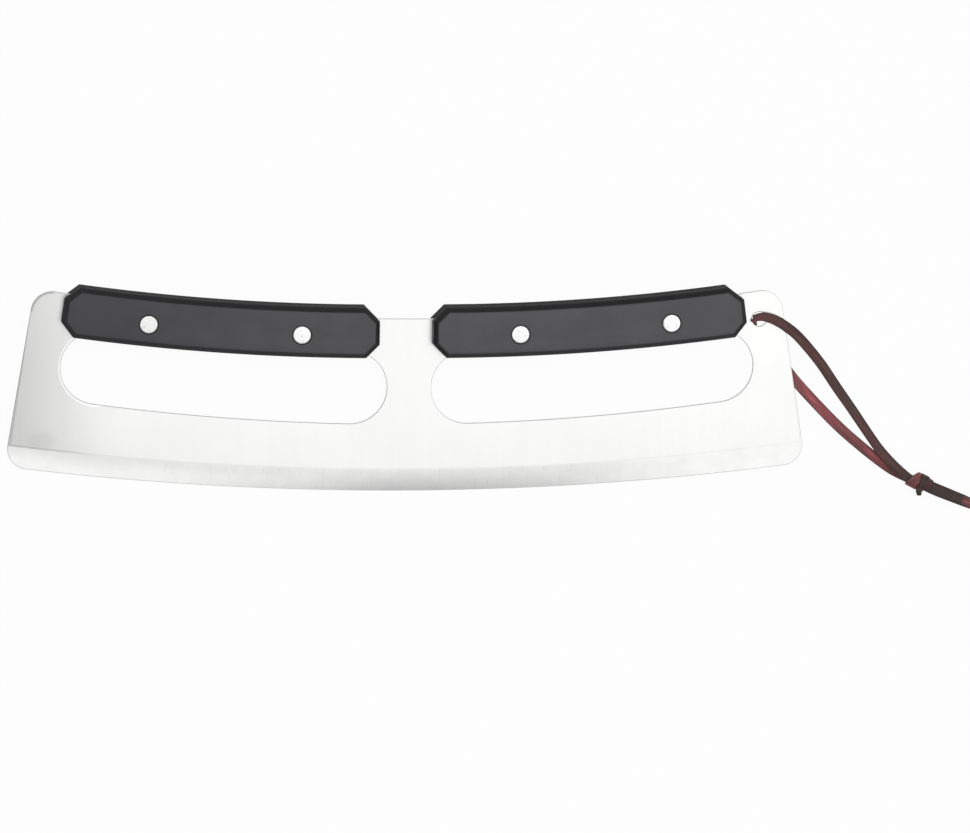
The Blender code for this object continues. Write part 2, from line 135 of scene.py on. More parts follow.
# Lanyard
LACE_WIDTH = 4.3
LACE_THICKNESS = 1.6
LACE_STEP = 1.2
LEAST_STEPS = 5
SECTION_POINTS = 28
SECTION_SQUARENESS = 0.5
LEAST_CURL = 0.01
LACE_CREASE = math.radians(60)

# Routes in millimetres from the middle of the hole: x, y, z and the share of the lace's width
FRONT_ROUTE = (
    (71.2, -72.4, -6.3, 0.85),
    (68.0, -70.6, -6.5, 1.0),
    (63.6, -66.8, -6.9, 1.0),
    (59.0, -62.2, -7.3, 1.0),
    (54.35, -56.6, -7.5, 0.97),
    (49.6, -49.75, -7.9, 0.97),
    (43.0, -39.95, -8.3, 1.0),
    (35.65, -29.75, -7.2, 1.03),
    (27.95, -19.15, -4.6, 1.04),
    (18.43, -8.77, -0.2, 1.04),
    (12.28, -3.77, 2.0, 1.03),
    (7.45, -0.92, 2.6, 1.0),
)
REAR_ROUTE = (
    (-0.6, -5.5, -3.4, 0.96),
    (2.6, -8.6, -4.1, 1.0),
    (7.8, -14.7, -5.4, 1.04),
    (16.8, -26.4, -7.6, 1.07),
    (27.3, -37.7, -9.0, 1.08),
    (37.9, -48.3, -9.2, 1.08),
    (48.6, -57.5, -9.2, 1.06),
    (58.7, -65.3, -9.2, 1.02),
    (64.4, -68.7, -8.9, 1.0),
    (68.6, -70.7, -8.2, 0.95),
    (71.8, -72.0, -7.8, 0.85),
)
LOOP_ROUTE = (
    (75.6, -74.2, -6.6, 0.95),
    (78.6, -75.5, -6.65, 1.0),
    (82.6, -77.2, -6.8, 1.0),
    (88.7, -79.5, -6.9, 1.0),
    (96.1, -82.2, -6.9, 1.0),
    (105.8, -84.8, -7.0, 1.0),
    (116.2, -85.6, -7.6, 1.0),
    (128.6, -87.0, -8.9, 1.0),
    (137.5, -88.6, -9.2, 1.0),
    (145.6, -91.9, -9.2, 1.0),
    (150.0, -97.2, -9.2, 1.0),
    (149.6, -103.9, -9.2, 1.0),
    (144.4, -108.3, -9.2, 1.0),
    (137.4, -107.8, -9.2, 1.0),
    (129.8, -104.9, -9.2, 1.0),
    (122.8, -101.0, -9.2, 1.0),
    (113.1, -93.4, -9.2, 1.0),
    (105.1, -86.5, -9.2, 1.0),
    (96.1, -81.6, -9.2, 1.0),
    (87.8, -78.0, -9.0, 1.0),
    (82.2, -75.7, -8.6, 1.0),
    (78.7, -74.3, -8.3, 1.0),
    (75.6, -73.2, -8.2, 0.95),
)

# Sections where the lace folds through the hole, in millimetres from the hole's middle:
# place, width direction, shares of the width and the thickness, and one over the radius of its curl
HOOK_FRONT = (
    (4.15, 0.3, 2.8, -0.15, 0.99, 0, 0.97, 1, 0),
    (1.6, 0.85, 2.8, -0.03, 1, 0, 0.88, 1, 0),
    (-0.5, 0.75, 2.7, -0.08, 1, 0, 0.8, 0.85, 0),
    (-2.05, 0.3, 2.45, 0.3, 0.95, 0, 0.7, 0.7, 0),
    (-2.75, -0.22, 2.0, 0.63, 0.78, 0, 0.69, 0.6, 0.05),
    (-1.7, -0.7, 0.8, 0.63, 0.78, 0, 0.5, 0.55, 0.25),
)
HOOK_REAR = (
    (-1.87, -0.64, 1.03, 0.63, 0.78, 0, 0.47, 0.5, 0.2),
    (-1.65, -0.7, 0.7, 0.63, 0.78, 0, 0.49, 0.55, 0.24),
    (-1.35, -0.78, 0, 0.66, 0.75, 0, 0.47, 0.55, 0.2),
    (-1.25, -0.95, -0.9, 0.72, 0.69, 0, 0.46, 0.52, 0.12),
    (-1.4, -1.4, -1.95, 0.8, 0.6, 0, 0.48, 0.55, 0.05),
    (-1.6, -2.4, -2.8, 0.87, 0.5, 0, 0.58, 0.62, 0),
    (-1.6, -3.9, -3.25, 0.93, 0.36, 0, 0.76, 0.78, 0),
)
KNOT_PLACE = (72.6, -71.5, -6.6)
KNOT_TURN = math.radians(-27)

# Wraps of the knot: top u and v, bottom u and v, half height, shares of the width at top and bottom,
# and how far the front bulges along u, in millimetres along and across the knot's axis
LEFT_WRAP = (0.85, 2.5, -2.15, -3.55, 2.2, 1.0, 1.2, -0.75)
MIDDLE_WRAP = (1.95, 2.75, 2.2, -3.1, 2.55, 1.08, 0.8, 0.1)
RIGHT_WRAP = (4.3, 2.2, 4.4, -1.5, 1.9, 0.95, 0.9, 0)

# Where each turn starts and ends, in degrees, and the short end that leaves the middle one
OUTER_TURN = (-95, 268)
MIDDLE_TURN = (-70, 176)
WRAP_STEPS = 44
STUB_POINTS = ((2.7, -4.1, -1.3, 0.66), (3.25, -4.75, -2.0, 0.54), (3.8, -5.4, -2.5, 0.46))

# How red each strap is at its first and last rows, from 0, dark wax, to 1, worn,
# and where its grain starts along the lace, in metres
FRONT_LOOK = (0.1, 0.45, 0)
REAR_LOOK = (0.5, 0.6, 0.2)
LOOP_LOOK = (0.05, 0.05, 0.4)
LEFT_WRAP_LOOK = (0.5, 0.5, 0.7)
MIDDLE_WRAP_LOOK = (0, 0, 0.8)
RIGHT_WRAP_LOOK = (0.1, 0.1, 0.9)

# Colours
BLADE_COLOUR = (0.81, 0.81, 0.805)
RIVET_COLOUR = (0.80, 0.80, 0.79)
PLASTIC_DARK = (0.011, 0.011, 0.012, 1)
# Painted sheen: the colour that the handles' broad faces are lightened towards
PLASTIC_PAINTED_SHEEN = (0.098, 0.097, 0.107, 1)
# Painted highlight colour for a handle's end wall
PLASTIC_HIGHLIGHT = (0.26, 0.26, 0.265, 1)
LEATHER_DARK = (0.052, 0.030, 0.026, 1)
LEATHER_RED = (0.165, 0.055, 0.055, 1)
# Painted shade colour along one edge of the grain side
LEATHER_EDGE_SHADE = (0.030, 0.024, 0.020, 1)
LEATHER_FLESH = (0.270, 0.064, 0.072, 1)
LEATHER_FLESH_DULL = (0.165, 0.060, 0.060, 1)
LEATHER_CUT = (0.16, 0.070, 0.064, 1)

# Grains: repeats per metre along each axis, and detail. The lace's third axis is a share of its thickness.
STEEL_FINE = ((1500, 26, 26), 4)
STEEL_BROAD = ((210, 7, 7), 2)
STEEL_CLOUD = ((26, 26, 26), 2)
BEVEL_MARKS = ((900, 150, 150), 2)
BEVEL_BLOTCHES = ((120, 160, 160), 1)
RIVET_FINE = ((2600, 420, 420), 4)
RIVET_SCUFFS = ((700, 1100, 700), 3)
PLASTIC_GRAIN = ((4200, 4200, 4200), 2)
PLASTIC_CLOUD = ((60, 60, 60), 3)
LEATHER_MOTTLE = ((1100, 170, 0.5), 4)
LEATHER_CREASE = ((1900, 75, 0.5), 3)
LEATHER_PATCH = ((160, 45, 0.5), 2)
NOISE_RANGE = (0.3, 0.7)
SPOT_CORE = 0.2

# Ramps of the blade: where each starts and ends, and its values there. Tones are factors of its colour.
FINE_TONES = (0.99, 1.007)
BROAD_TONES = (0.994, 1.005)
CLOUD_TONES = (0.985, 1.01)
# Painted shade: the flat darkens towards the blade's left end, and the bevel keeps at least its least tone
LEFT_END_SHADE = (-0.182, -0.118, 0.66, 1)
BEVEL_START = (0, 0.12, 0, 1)
BEVEL_LEAST_TONE = 0.97
# Painted highlight on both ends of the bevel, strongest towards the cutting edge
HIGHLIGHT_LEFT = (-0.06, 0.012, 1, 0)
HIGHLIGHT_RIGHT = (0.045, 0.115, 0, 0.85)
HIGHLIGHT_TOP = (-0.03, 0.05, 0.35, 0.8)
HIGHLIGHT_RISE = (0.1, 0.9)
HIGHLIGHT_TONE = 1.17
# Painted dark reflection: a soft grey spot just above the grind line near the left end
DIM_REFLECTION_PLACE = (-0.1605, 0.0228, 0)
DIM_REFLECTION_REACH = (0.0105, 0.0062, 1)
DIM_REFLECTION_TONE = 0.93
# Painted shade along the grind line, where the bevel meets the flat, strongest at the left end
GRIND_LINE_RISE = (0, 0.02, 0, 1)
GRIND_LINE_FALL = (0.02, 0.1, 1, 0)
GRIND_LINE_ALONG = (-0.15, -0.135, 1, 0.25)
GRIND_LINE_TONE = 0.8
MARKS_LEFT = (-0.13, -0.09, 0, 1)
MARKS_RIGHT = (0.08, 0.13, 1, 0.3)
MARKS_CUT = (0.58, 0.74, 0, 1)
MARKS_TONE = 0.93
BLOTCHES_TONE = 0.97

# Tones along the blade's rims. A band is how wide and how soft it is.
# Painted shade on the rim round the blade's upper left corner
CORNER_BAND = (0.0010, 0.0003)
CORNER_ALONG = (-0.001, 0.003)
CORNER_UP = (-0.001, 0.002)
CORNER_SHADE_TONE = 0.72
# Painted highlight in a pale band just outside the left slot's rounded rim, at its outer end
SLOT_HIGHLIGHT_BAND = (0.0010, 0.0002)
SLOT_HIGHLIGHT_ALONG = (-0.140, -0.125, 1, 0)
SLOT_HIGHLIGHT_TONE = 1.22
# Painted shade on the rounded rims and walls, all but at the right end
RIM_START = (0.2, 0.9, 0, 1)
RIM_ALONG = (0.154, 0.160, 1, 0)
RIM_SHADE_TONE = 0.6
STEEL_ROUGHNESS = (0.28, 0.32)
BEVEL_ROUGHNESS = 0.06
STEEL_BUMP = 0.000004

# Ramps of the rivets
RIVET_TONES = (0.95, 1.03)
SCUFF_TONES = (0.58, 0.7, 1, 0.84)
# Painted shade: the rivets a little darker towards the knife's left end
RIVET_SHADE_ALONG = (-0.12, -0.06, 0.92, 1)
SCUFF_ROUGHNESS = (0.4, 0.7, 0.24, 0.36)
RIVET_BUMP = 0.000005

# Ramps of the plastic: how much painted sheen its faces and its chamfers carry, and where a painted
# highlight and a painted shadow fall
# Painted sheen lightens the broad faces and, a little, the chamfers; the faces' sheen weakens towards the
# left end as painted shade
FACE_SHEEN = (0.73, 0.995, 0, 1)
FACE_SHEEN_ALONG = (-0.16, 0.03, 0.57, 0.95)
SHEEN_CLOUD = (0.92, 1.08)
CHAMFER_SHEEN = (0.2, 0.6, 0, 0.11)
CHAMFER_SHEEN_ALONG = (-0.145, -0.135, 1, 0.35)
# Painted highlight: a pale patch on the wall at the right handle's inner end
END_HIGHLIGHT_PLACE = (0.0102, 0.0700, 0.0045)
END_HIGHLIGHT_REACH = (0.004, 0.0085, 0.006)
END_HIGHLIGHT_WALL = (0.05, 0.3, 1, 0)
# Painted shadow: a dark ring on the plastic round each rivet head
SEAT_SHADOW = (0.0040, 0.0048, 0.8, 0)
WALL_ROUGHNESS = (0.1, 0.6, 0.85, 0.46)
GRAIN_ROUGHNESS = (-0.03, 0.03)
PLASTIC_SPECULAR = 0.3
PLASTIC_BUMP = 0.000008

# Ramps of the leather, in metres across it and along it, and in shares through its thickness.
# A stretch is where it starts and ends along the lace, and how soft its ends are.
WORN_RANGE = (0.45, 1.35, 0, 1)
RED_STRETCH = (0.4183, 0.432, 0.001)
# Painted shade along one edge of the grain side
GRAIN_EDGE_SHADE = (0.0010, 0.0018, 0, 0.75)
DULL_RED_SHARE = 0.5
DULL_RANGE = (0.05, 0.35, 0, 1)
FLESH_ALONG = (0.222, 0.290, 1.4, 0.85)
# Painted shade along both edges of the flesh side
FLESH_EDGE_SHADE = (0.0014, 0.0020, 0, 0.6)
FLESH_TO_CUT = (-0.8, -0.4, 0, 1)
CUT_TO_GRAIN = (0.35, 0.8, 0, 1)
LIGHT_STREAKS = (0.54, 0.68, 1, 1.7)
DARK_STREAKS = (0.3, 0.45, 0.72, 1)
PALE_STRETCH = (0.043, 0.087, 0.006)
PALE_TONE = 1.28
MOTTLE_TONES = (0.8, 1.18)
MOTTLE_ROUGHNESS = (0.42, 0.6)
LEATHER_SPECULAR = 0.32
LEATHER_BUMP = 0.00009

# Camera, from the photograph's fitted view
CAMERA_PLACE = (-0.28915, 0.03488, 2.52228)
CAMERA_RIGHT = (0.99187, -0.00200, 0.12724)
CAMERA_UP = (0.00438, 0.99982, -0.01843)
CAMERA_BACK = (-0.12718, 0.01883, 0.99170)
CAMERA_LENS = 215.13
CAMERA_SENSOR = 36.0
CAMERA_CLIP = (0.05, 100)

# Studio
FLOOR_SIZE = 14.0
FLOOR_DROP = 0.00005
FLOOR_COLOUR = (0.92, 0.92, 0.92, 1)
FLOOR_GLOW = 0.95
SKY_COLOUR = (1, 1, 1, 1)
SKY_STRENGTH = 0.28
OVERHEAD_PLACE = (0.6, 1.0, 3.2)
OVERHEAD_SIZE = (6.4, 5.5)
OVERHEAD_RADIANCE = 0.98
SIDE_PLACE = (2.0, 0.0, 2.8)
SIDE_SIZE = (3.0, 3.2)
SIDE_RADIANCE = 0.14


def on_circle(centre, radius, angle):
    return centre[0] + radius * math.cos(angle), centre[1] + radius * math.sin(angle)


def arc(centre, radius, start, end, steps):
    """Points on a circle from one angle to another, both ends included."""
    return [on_circle(centre, radius, start + (end - start) * i / steps) for i in range(steps + 1)]


def circle(centre, radius, steps):
    return arc(centre, radius, 0, 2 * math.pi, steps)[:-1]


def eased(value, start, end):
    """0 before start and 1 after end, with a smooth rise between them."""
    share = max(0, min(1, (value - start) / (end - start)))
    return share * share * (3 - 2 * share)


def add_piece(name, mesh, body, slot, *nodes):
    """A piece that stands for CAD nodes and moves with their body."""
    piece = bpy.data.objects.new(name, mesh)
    bpy.context.scene.collection.objects.link(piece)
    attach(piece, body)
    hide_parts(*nodes)
    return piece


def knife_to_world():
    return Matrix.Translation(KNIFE_PLACE) @ Matrix.Rotation(KNIFE_TILT, 4, "X")


# Blade

def lower_corner_centre():
    x = BLADE_LENGTH / 2 - LOWER_CORNER_RADIUS
    return Vector((x, EDGE_RADIUS - math.sqrt((EDGE_RADIUS - LOWER_CORNER_RADIUS) ** 2 - x ** 2)))


def upper_corner_centre():
    """The corner circle touches the leaning side, and the arc of the back from below."""
    outward = Vector((math.cos(SIDE_LEAN), math.sin(SIDE_LEAN)))
    along = Vector((-outward.y, outward.x))
    start = lower_corner_centre() + outward * (LOWER_CORNER_RADIUS - UPPER_CORNER_RADIUS)
    to_start = start - Vector((0, BACK_HEIGHT + BACK_RADIUS))
    half = to_start.dot(along)
    rest = to_start.length_squared - (BACK_RADIUS + UPPER_CORNER_RADIUS) ** 2
    return start + along * (-half - math.sqrt(half ** 2 - rest))


def blade_outline():
    """The outline, from the middle of the edge to the middle of the back, and its mirror."""
    low = lower_corner_centre()
    high = upper_corner_centre()
    edge_angle = math.atan2(low.x, EDGE_RADIUS - low.y)
    back_middle = Vector((0, BACK_HEIGHT + BACK_RADIUS))
    back_angle = math.atan2(high.x, back_middle.y - high.y)
    quarter = math.pi / 2
    right = arc((0, EDGE_RADIUS), EDGE_RADIUS, -quarter, edge_angle - quarter, EDGE_STEPS)
    right += arc(low, LOWER_CORNER_RADIUS, edge_angle - quarter, SIDE_LEAN, CORNER_STEPS)[1:]
    right += arc(high, UPPER_CORNER_RADIUS, SIDE_LEAN, quarter + back_angle, CORNER_STEPS)
    right += arc(back_middle, BACK_RADIUS, back_angle - quarter, -quarter, BACK_STEPS)[1:]
    return right + [(-x, y) for x, y in reversed(right[1:-1])]


def slot_outline(side):
    """A slot with round ends; side is 1 on the right and -1 on the left."""
    centre = (0, SLOT_MIDDLE_HEIGHT + SLOT_ARC_RADIUS)
    radius = SLOT_WIDTH / 2
    inner = math.asin(SLOT_INNER_END / SLOT_ARC_RADIUS) - math.pi / 2
    outer = math.asin(SLOT_OUTER_END / SLOT_ARC_RADIUS) - math.pi / 2
    inner_middle = on_circle(centre, SLOT_ARC_RADIUS, inner)
    outer_middle = on_circle(centre, SLOT_ARC_RADIUS, outer)
    points = arc(centre, SLOT_ARC_RADIUS + radius, inner, outer, SLOT_SIDE_STEPS)
    points += arc(outer_middle, radius, outer, outer + math.pi, SLOT_END_STEPS)[1:-1]
    points += arc(centre, SLOT_ARC_RADIUS - radius, outer, inner, SLOT_SIDE_STEPS)
    points += arc(inner_middle, radius, inner + math.pi, inner + 2 * math.pi, SLOT_END_STEPS)[1:-1]
    return [(side * x, y) for x, y in points]


def slot_end_middle():
    """The middle of the left slot's round outer end."""
    angle = math.asin(SLOT_OUTER_END / SLOT_ARC_RADIUS) - math.pi / 2
    x, y = on_circle((0, SLOT_MIDDLE_HEIGHT + SLOT_ARC_RADIUS), SLOT_ARC_RADIUS, angle)
    return -x, y


def steel_normals(points, is_hole):
    """Unit vectors along a closed outline that point into the steel."""
    corners = [Vector(p) for p in points]
    turn = sum(a.x * b.y - b.x * a.y for a, b in zip(corners, corners[1:] + corners[:1]))
    sign = math.copysign(1, turn) * (-1 if is_hole else 1)
    normals = []
    for before, here, after in zip(corners[-1:] + corners[:-1], corners, corners[1:] + corners[:1]):
        along = (here - before).normalized() + (after - here).normalized()
        normals.append(Vector((-along.y, along.x)).normalized() * sign)
    return normals


def end_share(x):
    """0 in the middle of the blade and 1 at its ends."""
    return eased(abs(x), 0, BLADE_LENGTH / 2)


def grind_crown(x):
    """How full the ground bevel is at x: full in the middle, hollow at the left end."""
    end = GRIND_CROWN_RIGHT if x > 0 else GRIND_CROWN_LEFT
    return GRIND_CROWN_MIDDLE + (end - GRIND_CROWN_MIDDLE) * end_share(x)


def grind_share(x, y):
    """0 at the cutting edge and 1 from the grind line up."""
    depth = EDGE_RADIUS - math.hypot(x, EDGE_RADIUS - y)
    return max(0, min(1, depth / GRIND_WIDTH))


def face_height(x, y):
    share = grind_share(x, y)
    low = EDGE_THICKNESS / 2 + GRIND_END_STOCK * end_share(x)
    drop = BLADE_THICKNESS / 2 - low
    return low + drop * (share + grind_crown(x) * share * (1 - share))


def face_normal(x, y):
    below = face_height(x, y - SLOPE_STEP)
    above = face_height(x, y + SLOPE_STEP)
    return Vector((0, (below - above) / (2 * SLOPE_STEP), 1)).normalized()


def inside(point, loop):
    """Whether a point is inside a closed outline."""
    x, y = point
    odd = False
    for (ax, ay), (bx, by) in zip(loop, loop[1:] + loop[:1]):
        if (ay > y) != (by > y) and x < ax + (y - ay) / (by - ay) * (bx - ax):
            odd = not odd
    return odd


def grind_rows(loop):
    """Rows of points along the ground bevel, which end short of the blade's sides."""
    rows = []
    reach = BLADE_LENGTH / 2 / EDGE_RADIUS
    down = -math.pi / 2
    margins = ((ROW_END_MARGIN, 0), (-ROW_END_MARGIN, 0), (0, -ROW_END_MARGIN))
    for share in GRIND_ROWS:
        radius = EDGE_RADIUS - share * GRIND_WIDTH
        row = arc((0, EDGE_RADIUS), radius, down - reach, down + reach, GRIND_STEPS)
        rows.append([(x, y) for x, y in row if all(inside((x + dx, y + dy), loop) for dx, dy in margins)])
    return rows


def blade_loops():
    """Each closed outline of the blade, whether it is a hole, and how far its rims are rounded."""
    loops = [(blade_outline(), False, RIM_ROUND)]
    loops += [(slot_outline(side), True, RIM_ROUND) for side in (-1, 1)]
    loops.append((circle(HOLE_PLACE, HOLE_RADIUS, HOLE_STEPS), True, HOLE_ROUND))
    for place in RIVETS.values():
        loops.append((circle(place, RIVET_HOLE_RADIUS, RIVET_HOLE_STEPS), True, RIM_ROUND))
    return loops


def rim_points(points, is_hole, rim):
    """Rings from an outline's wall up to the face, each point a place, a normal and a rim share."""
    into = steel_normals(points, is_hole)
    result = []
    for step in range(RIM_STEPS + 1):
        angle = math.pi / 2 * step / RIM_STEPS
        for (x, y), n in zip(points, into):
            size = min(rim, RIM_SHARE * face_height(x, y))
            here = Vector((x, y)) + n * size * (1 - math.cos(angle))
            place = Vector((*here, face_height(*here) - size * (1 - math.sin(angle))))
            out = Vector((-n.x, -n.y, 0)) * math.cos(angle)
            normal = (out + face_normal(*here) * math.sin(angle)).normalized()
            result.append((place, normal, 1 - step / RIM_STEPS))
    return result


def rim_faces(start, count):
    """Faces between the rings of a rim, whose first point is start and whose rings have count points."""
    faces = []
    for step in range(RIM_STEPS):
        low = start + step * count
        for i in range(count):
            j = (i + 1) % count
            faces.append((low + i, low + j, low + count + j, low + count + i))
    return faces


def seen_from_front(front, line):
    return [tuple(front[index][0].to_2d()) for index in line]


def face_triangles(front, rings, rows):
    """Triangles that fill the face between its rings, with edges along the rings and the rows."""
    indices = [index for line in rings + rows for index in line]
    plan = [Vector(point) for point in seen_from_front(front, indices)]
    outlines = [seen_from_front(front, ring) for ring in rings]
    edges = []
    first = 0
    for ring in rings:
        edges += [(first + i, first + (i + 1) % len(ring)) for i in range(len(ring))]
        first += len(ring)
    for row in rows:
        edges += [(first + i, first + i + 1) for i in range(len(row) - 1)]
        first += len(row)
    corners, _, faces, sources, _, _ = delaunay_2d_cdt(plan, edges, [], 0, PLAN_TOLERANCE)
    triangles = []
    for face in faces:
        middle = sum((corners[i] for i in face), Vector((0, 0))) / len(face)
        if inside(middle, outlines[0]) and not any(inside(middle, hole) for hole in outlines[1:]):
            triangles.append(tuple(indices[sources[i][0]] for i in face))
    return triangles


def blade_mesh():
    """A closed plate: rounded rims, a flat or ground face on both sides, and straight walls."""
    front, faces, walls, rings, rows = [], [], [], [], []
    for points, is_hole, rim in blade_loops():
        start, count = len(front), len(points)
        front += rim_points(points, is_hole, rim)
        faces += rim_faces(start, count)
        walls.append(list(range(start, start + count)))
        rings.append(list(range(len(front) - count, len(front))))
    for row in grind_rows(seen_from_front(front, rings[0])):
        rows.append(list(range(len(front), len(front) + len(row))))
        front += [(Vector((x, y, face_height(x, y))), face_normal(x, y), 0) for x, y in row]
    return close_plate("blade", front, face_triangles(front, rings, rows) + faces, walls)


def close_plate(name, front, front_faces, walls):
    """Mirror a front face to the rear, join both with walls, and shade by the given normals."""
    places, normals, rims = (list(values) for values in zip(*front))
    count = len(front)
    flip = Vector((1, 1, -1))
    everything = places + [p * flip for p in places]
    directions = normals + [n * flip for n in normals]
    faces = front_faces + [tuple(i + count for i in face) for face in front_faces]
    for loop in walls:
        for i, j in zip(loop, loop[1:] + loop[:1]):
            faces.append((i, j, j + count, i + count))
    place = knife_to_world()
    mesh = bpy.data.meshes.new(name)
    mesh.from_pydata([place @ p for p in everything], [], faces)
    shape = bmesh.new()
    shape.from_mesh(mesh)
    bmesh.ops.recalc_face_normals(shape, faces=shape.faces)
    shape.to_mesh(mesh)
    shape.free()
    grind = mesh.attributes.new("grind", "FLOAT", "POINT")
    for value, p in zip(grind.data, everything):
        value.value = 1 - grind_share(p.x, p.y)
    rim = mesh.attributes.new("rim", "FLOAT", "POINT")
    rim.data.foreach_set("value", rims + rims)
    mesh.shade_smooth()
    turn = place.to_3x3()
    mesh.normals_split_custom_set_from_vertices([turn @ n for n in directions])
    return mesh


# Handles and rivets

def sharp_edges(shape):
    return [e for e in shape.edges if len(e.link_faces) == 2 and e.calc_face_angle() > SCALE_SHARP]


def is_face_rim(edge, front):
    """Whether an edge joins the handle's broad face to the chamfer round it."""
    low, high = sorted(abs(face.normal.dot(front)) for face in edge.link_faces)
    return high > BROAD_FACE and CHAMFER_FACE[0] < low < CHAMFER_FACE[1]


def round_edges(shape, edges, size):
    bmesh.ops.bevel(shape, geom=edges, offset=size, offset_type="OFFSET", segments=ROUND_SEGMENTS,
                    profile=0.5, affect="EDGES", clamp_overlap=True)


def scale_mesh(source):
    """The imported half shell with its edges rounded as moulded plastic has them."""
    shape = bmesh.new()
    shape.from_mesh(source.data)
    bmesh.ops.remove_doubles(shape, verts=shape.verts, dist=WELD_DISTANCE)
    bmesh.ops.dissolve_limit(shape, angle_limit=FLAT_ANGLE, verts=shape.verts, edges=shape.edges)
    front = knife_to_world().to_3x3() @ Vector((0, 0, 1))
    shape.normal_update()
    face_rims = [edge for edge in sharp_edges(shape) if is_face_rim(edge, front)]
    round_edges(shape, face_rims, SCALE_FACE_ROUND)
    shape.normal_update()
    round_edges(shape, sharp_edges(shape), SCALE_ROUND)
    mesh = bpy.data.meshes.new(source.name)
    shape.to_mesh(mesh)
    shape.free()
    mesh.materials.clear()
    facing = mesh.attributes.new("facing", "FLOAT", "FACE")
    for value, face in zip(facing.data, mesh.polygons):
        value.value = abs(face.normal.dot(front))
    mesh.shade_smooth()
    mesh.set_sharp_from_angle(angle=SCALE_CREASE)
    return mesh


def make_scales(nodes, plastic):
    for name in ("left_front_scale", "left_rear_scale", "right_front_scale", "right_rear_scale"):
        scale = add_piece(name + "_moulded", scale_mesh(nodes[name]), "knife", "handle_plastic", name)
        scale.data.materials.append(plastic)


def turned_mesh(name, profile, place):
    """A round piece about its z axis, from a profile that runs from its top middle to its bottom."""
    shape = bmesh.new()
    rings = []
    for radius, z in profile:
        ring = circle((0, 0), radius, RIVET_STEPS) if radius else [(0, 0)]
        rings.append([shape.verts.new((x, y, z)) for x, y in ring])
    for upper, lower in zip(rings, rings[1:]):
        for i in range(RIVET_STEPS):
            j = (i + 1) % RIVET_STEPS
            corners = [upper[i % len(upper)], lower[i % len(lower)]]
            corners += [lower[j % len(lower)], upper[j % len(upper)]]
            shape.faces.new(list(dict.fromkeys(corners)))
    bmesh.ops.recalc_face_normals(shape, faces=shape.faces)
    bmesh.ops.transform(shape, matrix=place, verts=shape.verts)
    mesh = bpy.data.meshes.new(name)
    shape.to_mesh(mesh)
    shape.free()
    mesh.shade_smooth()
    mesh.set_sharp_from_angle(angle=RIVET_CREASE)
    return mesh


def head_profile(top):
    """A slightly domed head with a rounded rim, down to its seat."""
    rim = RIVET_HEAD_RADIUS - RIVET_ROUND
    points = [(rim * share, top - RIVET_DOME * share * share) for share in HEAD_SHARES]
    low = top - RIVET_DOME - RIVET_ROUND
    for step in range(1, HEAD_ROUND_STEPS + 1):
        angle = math.pi / 2 * step / HEAD_ROUND_STEPS
        points.append((rim + RIVET_ROUND * math.sin(angle), low + RIVET_ROUND * math.cos(angle)))
    points.append((RIVET_HEAD_RADIUS, top - RIVET_HEAD_HEIGHT))
    return points


def make_rivets(steel):
    top = HANDLE_THICKNESS / 2 - RIVET_INSET
    seat = top - RIVET_HEAD_HEIGHT
    end = -BLADE_THICKNESS / 2 - RIVET_HEAD_HEIGHT
    bore = RIVET_PIN_RADIUS + RIVET_GAP
    tip = RIVET_GAP - seat
    tube = head_profile(top) + [(RIVET_TUBE_RADIUS, seat), (RIVET_TUBE_RADIUS, end)]
    tube += [(bore, end), (bore, seat), (0, seat)]
    pin = head_profile(top) + [(RIVET_PIN_RADIUS, seat), (RIVET_PIN_RADIUS, tip), (0, tip)]
    for name, (x, y) in RIVETS.items():
        place = knife_to_world() @ Matrix.Translation((x, y, 0))
        for kind, profile, turn in (("tube", tube, 0), ("pin", pin, math.pi)):
            node = f"{name}_rivet_{kind}"
            mesh = turned_mesh(node, profile, place @ Matrix.Rotation(turn, 4, "X"))
            piece = add_piece(node + "_turned", mesh, "knife", "rivet_steel", node)
            piece.data.materials.append(steel)


# Lanyard

def spline(t, before, start, end, after):
    """A smooth change from start at 0 to end at 1, with their neighbours' slope."""
    bend = (end - before) * t + (2 * before - 5 * start + 4 * end - after) * t ** 2
    bend += (3 * start - before - 3 * end + after) * t ** 3
    return start + bend / 2


def smooth(rows, spacing):
    """Rows of numbers on a smooth curve through the given ones, whose first three are a place."""
    result = []
    for i in range(len(rows) - 1):
        four = rows[max(i - 1, 0)], rows[i], rows[i + 1], rows[min(i + 2, len(rows) - 1)]
        steps = max(LEAST_STEPS, math.ceil(math.dist(rows[i][:3], rows[i + 1][:3]) / spacing))
        result += [[spline(k / steps, *values) for values in zip(*four)] for k in range(steps)]
    return result + [list(rows[-1])]


def lace_section():
    """The lace's outline in shares of half its width and half its thickness."""
    points = []
    for i in range(SECTION_POINTS):
        angle = 2 * math.pi * (i + 0.5) / SECTION_POINTS
        circle_point = math.cos(angle), math.sin(angle)
        points.append(tuple(math.copysign(abs(c) ** SECTION_SQUARENESS, c) for c in circle_point))
    return points


def bent(over, out, curl):
    """A point of the section after it has curled across its width."""
    if curl < LEAST_CURL:
        return over, out
    angle = over * curl
    return (1 / curl + out) * math.sin(angle), (1 / curl + out) * math.cos(angle) - 1 / curl


def layer(layers, name):
    return layers.get(name) or layers.new(name)


